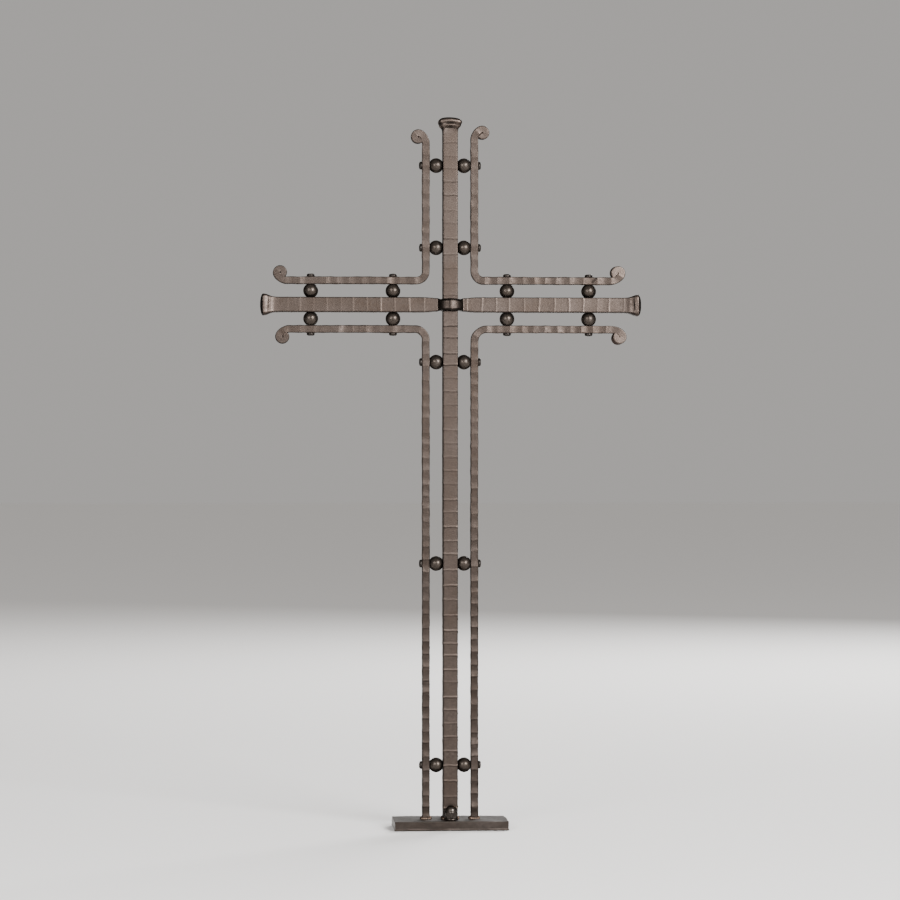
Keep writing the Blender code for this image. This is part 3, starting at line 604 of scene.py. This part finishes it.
# Name, ways, bend radius, then for the rising and the level leg: turn in degrees, size of
# the tip, how far the roll's back leans along X and Z, and how much lighter it is made
# along the roll.  A leg with no roll stands on the plate.
SIDE_BARS = (
    ("upper_left_bar", -1, 1, 0.013,
     (314, 0.0092, 0.0, 0.0, 0.0), (334, 0.0088, 0.0, 0.0, 0.0)),
    ("upper_right_bar", 1, 1, 0.013,
     (318, 0.0086, -0.0004, 0.0, 0.10), (310, 0.0094, -0.0007, 0.0, 0.50)),
    ("lower_left_bar", -1, -1, 0.015, None, (328, 0.0088, 0.0, 0.0, 0.0)),
    ("lower_right_bar", 1, -1, 0.017, None, (310, 0.0088, -0.0011, -0.0009, 0.42)),
)
SIDE_SECTION = square_section(9, 2)
SIDE_FINISH = forged_iron("side_bar_finish", SIDE_TONE, 0.36)


def smooth_step(share):
    """Rise smoothly from 0 to 1 as the share t goes from 0 to 1: t^2 (3 - 2 t)."""
    share = np.clip(share, 0.0, 1.0)
    return share * share * (3 - 2 * share)


def leg_line(start, reach, roll):
    """One leg of a side bar as along and aside points, headings, thicknesses, and how far
    it leans both ways and is lightened in its roll.  A roll is a path whose heading grows
    evenly while its radius shrinks from the lead to half the bar's own thickness.  It ends
    in a round nose, and begins where it just reaches the side of its CAD node's box."""
    if roll is None:
        along = np.linspace(start, reach, round((reach - start) / SIDE_CELL))
        line = np.stack([along, along * 0], axis=-1)
        return line, along * 0, along * 0 + 2 * SIDE_HALF, np.zeros((len(along), 3))
    degrees, tip = roll[:2]
    turn = math.radians(degrees)
    heading = np.linspace(0.0, turn, ROLL_STEPS)
    middle = (heading[1:] + heading[:-1]) / 2
    taper = np.minimum(heading / (ROLL_TAPER_END * turn), 1)
    thickness = 2 * SIDE_HALF + (tip - 2 * SIDE_HALF) * taper
    tight = (thickness[1:] + thickness[:-1]) / 4 + ROLL_EYE_RADIUS
    radius = tight + (ROLL_LEAD_RADIUS - tight) * (1 - smooth_step(middle / ROLL_LEAD_TURN))
    step = radius[:, None] * turn / (ROLL_STEPS - 1)
    moves = step * np.stack([np.cos(middle), np.sin(middle)], axis=-1)
    line = np.concatenate([np.zeros((1, 2)), np.cumsum(moves, axis=0)])
    roll_start = reach - np.max(line[:, 0] + thickness / 2)
    nose = np.linspace(0.0, NOSE_TURN, NOSE_RINGS + 1)[1:]
    ahead = NOSE * np.sin(nose)[:, None] * [math.cos(turn), math.sin(turn)]
    line = np.concatenate([line, line[-1] + ahead])
    thickness = np.append(thickness, thickness[-1] * np.cos(nose) ** NOSE_BLUNT)
    heading = np.append(heading, nose * 0 + turn)
    along = np.linspace(start, roll_start, round((roll_start - start) / SIDE_CELL))[:-1]
    leaning = smooth_step(heading / ROLL_LEAN_TURN)[:, None] * roll[2:]
    return (np.concatenate([np.stack([along, along * 0], axis=-1), line + [roll_start, 0.0]]),
            np.concatenate([along * 0, heading]),
            np.concatenate([along * 0 + 2 * SIDE_HALF, thickness]),
            np.concatenate([np.zeros((len(along), 3)), leaning]))


def weld_seam(rings):
    """Soot on the slanting seam of a forge weld across the front of the upper right bar, a
    bell curve of how far each point lies from the line between the seam's two ends."""
    way = SEAM_END - SEAM_START
    length = np.linalg.norm(way)
    way = way / length
    from_start = rings[..., [0, 2]] - (SEAM_START + [0.0, CROSSING])
    off = np.abs(from_start[..., 0] * way[1] - from_start[..., 1] * way[0])
    along = from_start @ way
    on_seam = (along > -SEAM_MARGIN) * (along < length + SEAM_MARGIN) * (rings[..., 1] < SEAM_FRONT)
    return on_seam * np.exp(-(off / SEAM_WIDTH) ** 2)


for number, (bar, x_way, z_way, bend, rising, level) in enumerate(SIDE_BARS):
    bar_low, bar_high = map(np.array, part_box(bar))
    up_reach = (bar_high[2] - CROSSING) if z_way > 0 else CROSSING - bar_low[2]
    out_reach = bar_high[0] if x_way > 0 else -bar_low[0]
    up, up_heading, up_size, up_roll = leg_line(SIDE_OFFSET + bend, up_reach, rising)
    out, out_heading, out_size, out_roll = leg_line(SIDE_OFFSET + bend, out_reach, level)
    turn = np.linspace(math.pi, 1.5 * math.pi, round(bend * math.pi / 2 / SIDE_CELL) + 2)[1:-1]
    round_turn = np.stack([np.cos(turn), np.sin(turn)], axis=-1)
    line = np.concatenate([
        np.stack([SIDE_OFFSET + up[:, 1], up[:, 0]], axis=-1)[::-1],
        SIDE_OFFSET + bend + bend * round_turn,
        np.stack([out[:, 0], SIDE_OFFSET + out[:, 1]], axis=-1),
    ]) * [x_way, z_way]
    aside = np.concatenate([
        np.stack([-np.cos(up_heading), np.sin(up_heading)], axis=-1)[::-1],
        round_turn,
        np.stack([np.sin(out_heading), -np.cos(out_heading)], axis=-1),
    ]) * [x_way, z_way]
    size = np.concatenate([up_size[::-1], turn * 0 + 2 * SIDE_HALF, out_size])[:, None]
    in_rolls = np.concatenate([up_roll[::-1], np.zeros((len(turn), 3)), out_roll])
    path = np.stack([line[:, 0], line[:, 0] * 0, line[:, 1] + CROSSING], axis=-1)
    side = np.stack([aside[:, 0], aside[:, 0] * 0, aside[:, 1]], axis=-1)
    steps = np.linalg.norm(np.diff(path, axis=0), axis=1)
    travelled = np.concatenate([[0.0], np.cumsum(steps)])
    depth = SIDE_HALF * np.clip(size / NOSE_FULL, NOSE_LEAST, 1.0)
    in_roll = smooth_step((2 * SIDE_HALF - size) / ROLL_THINNED)
    low = low_share(path[:, 2:])
    calm = np.where(np.abs(side[:, :1]) > 0.5, near_rivets(path, False), near_rivets(path, True))
    calm = np.maximum(calm, SIDE_CALM + SIDE_LOW_CALM * low)
    relief, light, dark = bar_relief(travelled, SIDE_SECTION, SIDE_HALF, SIDE_PITCH, SIDE_HOLLOW,
                                     SIDE_RIDGE, calm, 40 + number)
    relief *= (1 - ROLL_FLATTER * in_roll) * (1 + low)
    front_and_back = SIDE_SECTION[2][:, 1::2].sum(axis=1)
    in_hollow = np.clip(-relief / SIDE_HOLLOW, 0.0, 1.0) * front_and_back
    corners = SIDE_CORNER * (1 + SIDE_CORNER_CHANGE * ripple(path, SIDE_CORNER_PITCH, 50 + number))
    corners = np.minimum(corners[:, None], size / 2 * SIDE_CORNER_MOST)
    rings = rings_on_path(path, side, size / 2, depth, corners, SIDE_SECTION, relief)
    rings[..., [0, 2]] += in_rolls[:, None, :2] * rings[..., 1:2] / SIDE_HALF
    points, faces = skin(rings)
    # Painted shade inside the rolls, at their thin tips, behind the ridges, towards the foot and in its
    # hollows, and along the edges; soot on the weld seam; painted highlight on the ridges, and the rolls
    # lightened by their given amount.
    roll_soot = (SIDE_SECTION[1][:, 0] > ROLL_INSIDE) * in_roll * ROLL_INSIDE_SHADE
    roll_soot = roll_soot + np.clip(1 - (size - NOSE_SHADE_SIZE) / NOSE_SHADE_RISE, 0.0, 1.0)
    line_soot = dark * (SIDE_DARK + SIDE_LOW_DARK * low) * (1 - in_roll)
    low_soot = (SIDE_LOW_SHADE + SIDE_HOLLOW_SHADE * in_hollow) * low
    seam = weld_seam(rings) if bar == "upper_right_bar" else 0.0
    soot = roll_soot + line_soot + seam + low_soot + PAINTED_EDGE_SHADE * SIDE_SECTION[4]
    rubbed = light * (SIDE_LIGHT + SIDE_LOW_LIGHT * low) * (1 - in_roll) + in_rolls[:, 2:]
    add_piece(bar.replace("_bar", "_scroll_bar"), points, faces, SIDE_FINISH, "side_bar_iron", bar,
              soot=np.append(soot, [0, 0]), rubbed=np.append(rubbed, [0, 0]))

# Balls
# Drilled iron balls that keep the side bars off the main bars, one pair on each rivet,
# with a small flat filed where they bear on a bar.  They are forge black and satin.
BALL_STEPS, BALL_SIDES = 26, 44
BALL_BORE, BALL_CHAMFER = 0.0034, 0.0004
BALL_UNEVEN, BALL_UNEVEN_PITCH = 0.00006, 0.008
# Where a ball's seat starts, and the painted shade there, where it bears on a bar.
BALL_SEAT, BALL_SEAT_SHADE = 0.80, 0.5
BALL_TONE = (0.057, 0.047, 0.040)
BALL_FINISH = forged_iron("ball_finish", BALL_TONE, 0.33, patch=0.012, mottle=0.0030,
                          grain=0.00002, rim=0.1)


def turned_rings(profile, middle, axis, sides):
    """Rings of a turned piece: each (radius, height) of the profile carried round the axis
    through the middle."""
    axis = np.array(axis, float)
    first = np.cross(axis, [0.0, 1.0, 0.0])
    second = np.cross(axis, first)
    angle = np.linspace(0.0, 2 * math.pi, sides, endpoint=False)
    spoke = np.cos(angle)[:, None] * first + np.sin(angle)[:, None] * second
    profile = np.asarray(profile)
    return middle + profile[:, :1, None] * spoke + profile[:, 1:, None] * axis


def looped_skin(rings):
    """Points and faces over rings that close on themselves, the last joined to the first,
    with the faces turned outwards."""
    count, size = rings.shape[:2]
    corner = np.arange(count * size).reshape(count, size)
    after = np.roll(corner, -1, axis=1)
    walls = np.stack([corner, after, np.roll(after, -1, axis=0), np.roll(corner, -1, axis=0)], axis=-1)
    walls = walls.reshape(-1, 4)
    points = rings.reshape(-1, 3)
    way = outward_step(points, np.vstack([walls[:, :3], walls[:, [0, 2, 3]]]))
    return points, walls[:, ::way]


def turned_node(node, pick):
    """Middle, axis and sizes of the box of a turned CAD node, whose axis is the direction
    that the pick takes from the sizes."""
    low, high = map(np.array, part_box(node))
    axis = np.zeros(3)
    axis[pick(high - low)] = 1.0
    return (low + high) / 2, axis, high - low


balls = [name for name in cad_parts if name.startswith("ball_")]
for number, ball in enumerate(sorted(balls)):
    middle, axis, sizes = turned_node(ball, np.argmin)
    half_length, radius = sizes.min() / 2, sizes.max() / 2
    end_lean = math.asin(half_length / radius)
    lean = np.linspace(end_lean, -end_lean, BALL_STEPS)
    outer = np.stack([radius * np.cos(lean), radius * np.sin(lean)], axis=-1)
    bore = np.array([(BALL_BORE + BALL_CHAMFER, -half_length), (BALL_BORE, BALL_CHAMFER - half_length),
                     (BALL_BORE, half_length - BALL_CHAMFER), (BALL_BORE + BALL_CHAMFER, half_length)])
    rings = turned_rings(np.concatenate([outer, bore]), middle, axis, BALL_SIDES)
    out = rings - middle
    rings += BALL_UNEVEN * ripple(rings, BALL_UNEVEN_PITCH, 60 + number)[..., None] * out / radius
    points, faces = looped_skin(rings)
    # Painted shade on the seats, where the ball meets a bar.
    seat = np.repeat(np.append(np.abs(np.sin(lean)) > BALL_SEAT, np.ones(len(bore))), BALL_SIDES)
    add_piece(ball.replace("ball", "iron_ball"), points, faces, BALL_FINISH, "ball_iron", ball,
              soot=seat * BALL_SEAT_SHADE)

# Rivets
# Round bar through side bar, ball, main bar, ball and side bar, closed hot with the hammer
# into a low round head at each end.
RIVET_SIDES = 36
RIVET_SHANK, RIVET_OVERSIZE = 0.0030, 0.00002
RIVET_SEAT = SIDE_OFFSET + SIDE_HALF + 0.0001
RIVET_UNEVEN, RIVET_UNEVEN_PITCH, RIVET_UNEVEN_START = 0.00022, 0.007, 0.0002
# The head's profile, as shares of its radius and of its height.
RIVET_HEAD = np.array([
    (0.0, 1.0), (0.25, 0.995), (0.48, 0.975), (0.70, 0.92), (0.86, 0.81), (0.95, 0.67),
    (0.99, 0.52), (1.0, 0.36), (0.995, 0.16), (0.975, 0.0), (0.80, -0.01),
])
RIVET_TONE = (0.032, 0.0275, 0.0245)
RIVET_FINISH = forged_iron("rivet_finish", RIVET_TONE, 0.38, patch=0.010, mottle=0.0030)

rivets = [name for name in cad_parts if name.startswith("rivet_")]
for number, rivet in enumerate(sorted(rivets)):
    middle, axis, sizes = turned_node(rivet, np.argmax)
    half_length, head_radius = sizes.max() / 2, np.sort(sizes)[1] / 2
    upper = np.stack([head_radius * RIVET_HEAD[:, 0] + RIVET_OVERSIZE,
                      RIVET_SEAT + (half_length - RIVET_SEAT) * RIVET_HEAD[:, 1]], axis=-1)
    upper = np.vstack([upper, [RIVET_SHANK, RIVET_SEAT]])
    profile = np.vstack([upper, upper[::-1] * [1.0, -1.0]])
    rings = turned_rings(profile, middle, axis, RIVET_SIDES)
    height = profile[:, 1][:, None, None]
    uneven = RIVET_UNEVEN * ripple(rings, RIVET_UNEVEN_PITCH, 80 + number)[..., None]
    rings += (np.abs(height) > RIVET_SEAT + RIVET_UNEVEN_START) * uneven * axis * np.sign(height)
    points, faces = skin(rings)
    add_piece(rivet.replace("rivet", "closed_rivet"), points, faces, RIVET_FINISH, "rivet_iron", rivet)

# Foot welds
# A bead of weld round the foot of the upright and of each lower side bar, laid in short
# ripples on the plate and left bright.
WELD_SIDES, WELD_STEPS = 160, 9
WELD_HEIGHT, WELD_REACH, WELD_PLUMP = 0.0028, 0.0026, 0.9
WELD_UNDER_BAR, WELD_AT_CORNER = 0.97, 1.30
WELD_RIPPLE, WELD_RIPPLE_DEPTH, WELD_PER_TURN = 0.0016, 0.16, 1.15
WELD_UNEVEN, WELD_UNEVEN_PITCH = 0.18, 0.012
WELD_INSIDE, WELD_SUNK = 0.0004, 0.0006
WELD_TONE = (0.110, 0.078, 0.060)
WELD_FINISH = forged_iron("weld_finish", WELD_TONE, 0.40, patch=0.008, mottle=0.0022)
# Foot, its half width, its place along X and the slot of its bar.
FEET = (("upright", MAIN_HALF, 0.0, "main_bar_iron"), ("left", SIDE_HALF, -SIDE_OFFSET, "side_bar_iron"),
        ("right", SIDE_HALF, SIDE_OFFSET, "side_bar_iron"))

for number, (foot, half, centre, bar_slot) in enumerate(FEET):
    turn = np.linspace(0.0, 2 * math.pi, WELD_SIDES, endpoint=False)
    square = half * WELD_UNDER_BAR / np.maximum(np.abs(np.cos(turn)), np.abs(np.sin(turn)))
    square = np.minimum(square, half * WELD_AT_CORNER)
    spoke = np.stack([np.cos(turn), np.sin(turn), turn * 0], axis=-1)
    length = turn * half * WELD_PER_TURN
    bead = (1 + WELD_RIPPLE_DEPTH * np.abs(np.sin(math.pi * length / WELD_RIPPLE))
            + WELD_UNEVEN * ripple(spoke * half, WELD_UNEVEN_PITCH, 90 + number))
    swing = np.linspace(0.0, 1.0, WELD_STEPS) * math.pi / 2
    reach = square[:, None] + WELD_REACH * bead[:, None] * np.sin(swing) ** WELD_PLUMP
    rise = WELD_HEIGHT * bead[:, None] * np.cos(swing) ** WELD_PLUMP
    outer = spoke[:, None] * reach[..., None] + rise[..., None] * [0.0, 0.0, 1.0]
    inner = spoke[:, None] * (square[:, None] - WELD_INSIDE)[..., None]
    rings = np.concatenate([outer, inner], axis=1) + [centre, 0.0, PLATE_TOP - WELD_SUNK]
    points, faces = looped_skin(rings)
    add_piece(f"weld_{foot}", points, faces, WELD_FINISH, bar_slot)

# Washers and cap nuts
# A plain washer and a domed cap nut on each holding-down bolt, turned and milled from
# steel and dulled by handling, one in front of the upright and one behind it.
WASHER_SIDES = 64
# The washer's rim as steps in from it, and its bore as radii, with shares of its thickness.
WASHER_RIM = ((0.0, 0.30), (0.0, 0.80), (0.0004, 1.0))
WASHER_BORE = ((0.0060, 1.0), (0.0054, 0.8), (0.0054, 0.2), (0.0060, 0.0))
WASHER_FOOT = 0.0006
WASHER_TONE = (0.062, 0.050, 0.043)
WASHER_FINISH = forged_iron("washer_finish", WASHER_TONE, 0.38, metallic=1.0, patch=0.010,
                            mottle=0.003, grain=0.00002)
NUT_SIDES, NUT_DOME_STEPS = 96, 18
NUT_FLATS, NUT_HEX = 0.017, 0.0085
NUT_DOME, NUT_NECK, NUT_NECK_WIDTH, NUT_POLE = 0.0080, 0.0006, 0.0003, 0.000004
NUT_CHAMFER, NUT_CHAMFER_WIDTH = 0.0008, 1.2
NUT_BORE, NUT_BORE_DEPTH, NUT_MOUTH, NUT_DRILL_POINT = 0.0043, 0.0125, 0.0006, 0.001
NUT_TONE = (0.056, 0.047, 0.041)
NUT_FINISH = forged_iron("nut_finish", NUT_TONE, 0.30, metallic=1.0, patch=0.010,
                         mottle=0.0040, grain=0.00001)


def standing_node(node):
    """Middle of the underside, radius and height of an upright turned CAD node."""
    low, high = map(np.array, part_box(node))
    foot = np.array([(low[0] + high[0]) / 2, (low[1] + high[1]) / 2, low[2]])
    return foot, (high[0] - low[0]) / 2, high[2] - low[2]


for end in ("front", "back"):
    middle, outer, thick = standing_node(f"washer_{end}")
    profile = [(outer - inset, thick * share) for inset, share in WASHER_RIM]
    profile += [(radius, thick * share) for radius, share in WASHER_BORE]
    profile += [(outer - WASHER_FOOT, 0.0)]
    points, faces = looped_skin(turned_rings(profile, middle, (0, 0, 1), WASHER_SIDES))
    add_piece(f"plain_washer_{end}", points, faces, WASHER_FINISH, "washer_steel", f"washer_{end}")

    middle, _, tall = standing_node(f"cap_nut_{end}")
    rise = np.linspace(math.pi / 2, 0.0, NUT_DOME_STEPS)
    dome = np.stack([NUT_DOME * np.cos(rise) + NUT_POLE, tall - NUT_DOME + NUT_DOME * np.sin(rise)], axis=-1)
    corner = NUT_FLATS / 2 / math.cos(math.pi / 6)
    bevel = corner - NUT_CHAMFER * NUT_CHAMFER_WIDTH
    hexagon = [(NUT_DOME, NUT_HEX + NUT_NECK), (NUT_DOME + NUT_NECK_WIDTH, NUT_HEX), (bevel, NUT_HEX),
               (corner, NUT_HEX - NUT_CHAMFER), (corner, NUT_HEX * 0.5), (corner, NUT_CHAMFER), (bevel, 0.0)]
    bore = [(NUT_BORE + NUT_MOUTH, 0.0), (NUT_BORE, NUT_MOUTH),
            (NUT_BORE, NUT_BORE_DEPTH - NUT_DRILL_POINT), (0.00001, NUT_BORE_DEPTH)]
    profile = np.concatenate([dome, hexagon, bore])
    rings = turned_rings(profile, middle, (0, 0, 1), NUT_SIDES)
    turn = np.arctan2(rings[..., 1] - middle[1], rings[..., 0] - middle[0])
    flat = NUT_FLATS / 2 / np.cos((turn + math.pi / 2) % (math.pi / 3) - math.pi / 6)
    radius, height = profile[:, :1], profile[:, 1:]
    in_hex = (radius > NUT_DOME + 0.0001) & (height <= NUT_HEX + 1e-6)
    shrink = np.where(in_hex, np.minimum(radius, flat) / radius, 1.0)[..., None]
    rings = middle + (rings - middle) * np.concatenate([shrink, shrink, shrink * 0 + 1], axis=-1)
    points, faces = skin(rings)
    nut = add_piece(f"domed_nut_{end}", points, faces, NUT_FINISH, "nut_steel", f"cap_nut_{end}")
    nut.data.set_sharp_from_angle(angle=math.radians(28))

# Studio
# A pale floor under the cross, a large soft light on the right of the camera, a fainter
# one on its left, one behind the cross for its back, and a pale room around it all.
FLOOR_HALF, FLOOR_DROP = 30, 0.0004
FLOOR_TONE, FLOOR_ROUGHNESS = (0.72, 0.705, 0.69), 0.9
ROOM_TONE, ROOM_STRENGTH = (0.86, 0.83, 0.80), 0.50
CEILING_POWER, CEILING_SPREAD = 0.45, math.radians(90)
LIGHT_AIM = 0.55
CAMERA_TURN, CAMERA_DISTANCE, CAMERA_HEIGHT, CAMERA_LENS = math.radians(-4.0), 4.9, 0.529, 140.0

floor_mesh = bpy.data.meshes.new("floor")
floor_mesh.from_pydata([(x * FLOOR_HALF, y * FLOOR_HALF, -FLOOR_DROP)
                        for x, y in ((-1, -1), (1, -1), (1, 1), (-1, 1))], [], [(0, 1, 2, 3)])
floor = bpy.data.objects.new("floor", floor_mesh)
bpy.context.scene.collection.objects.link(floor)
floor_paint = bpy.data.materials.new("floor_paint")
floor_paint.use_nodes = True
floor_shader = floor_paint.node_tree.nodes["Principled BSDF"]
floor_shader.inputs["Base Color"].default_value = (*FLOOR_TONE, 1.0)
floor_shader.inputs["Roughness"].default_value = FLOOR_ROUGHNESS
floor_mesh.materials.append(floor_paint)

room = bpy.data.worlds.new("room")
room.use_nodes = True
room.node_tree.nodes["Background"].inputs["Color"].default_value = (*ROOM_TONE, 1.0)
room.node_tree.nodes["Background"].inputs["Strength"].default_value = ROOM_STRENGTH
bpy.context.scene.world = room


def add_softbox(name, turn, rise, distance, width, height, power):
    """A soft light at an angle round the cross from straight in front, aimed at its middle."""
    light = bpy.data.lights.new(name, "AREA")
    light.shape = "RECTANGLE"
    light.size, light.size_y = width, height
    light.energy = power
    lamp = bpy.data.objects.new(name, light)
    turn, rise = math.radians(turn), math.radians(rise)
    way = np.array([math.sin(turn) * math.cos(rise), -math.cos(turn) * math.cos(rise), math.sin(rise)])
    lamp.location = way * distance + [0, 0, LIGHT_AIM]
    lamp.rotation_euler = (math.pi / 2 - rise, 0.0, turn)
    lamp.visible_camera = False
    bpy.context.scene.collection.objects.link(lamp)


add_softbox("key", 29, 18, 4.6, 2.0, 1.9, 470)
add_softbox("fill", -29, 14, 4.8, 1.9, 1.6, 182)
add_softbox("rear", 150, 26, 5.2, 2.2, 1.6, 400)
ceiling = bpy.data.lights.new("ceiling", "SUN")
ceiling.energy = CEILING_POWER
ceiling.angle = CEILING_SPREAD
bpy.context.scene.collection.objects.link(bpy.data.objects.new("ceiling", ceiling))

camera_data = bpy.data.cameras.new("camera")
camera_data.lens = CAMERA_LENS
camera = bpy.data.objects.new("camera", camera_data)
camera.location = (CAMERA_DISTANCE * math.sin(CAMERA_TURN), -CAMERA_DISTANCE * math.cos(CAMERA_TURN),
                   CAMERA_HEIGHT)
camera.rotation_euler = (math.pi / 2, 0.0, CAMERA_TURN)
bpy.context.scene.collection.objects.link(camera)
bpy.context.scene.camera = camera
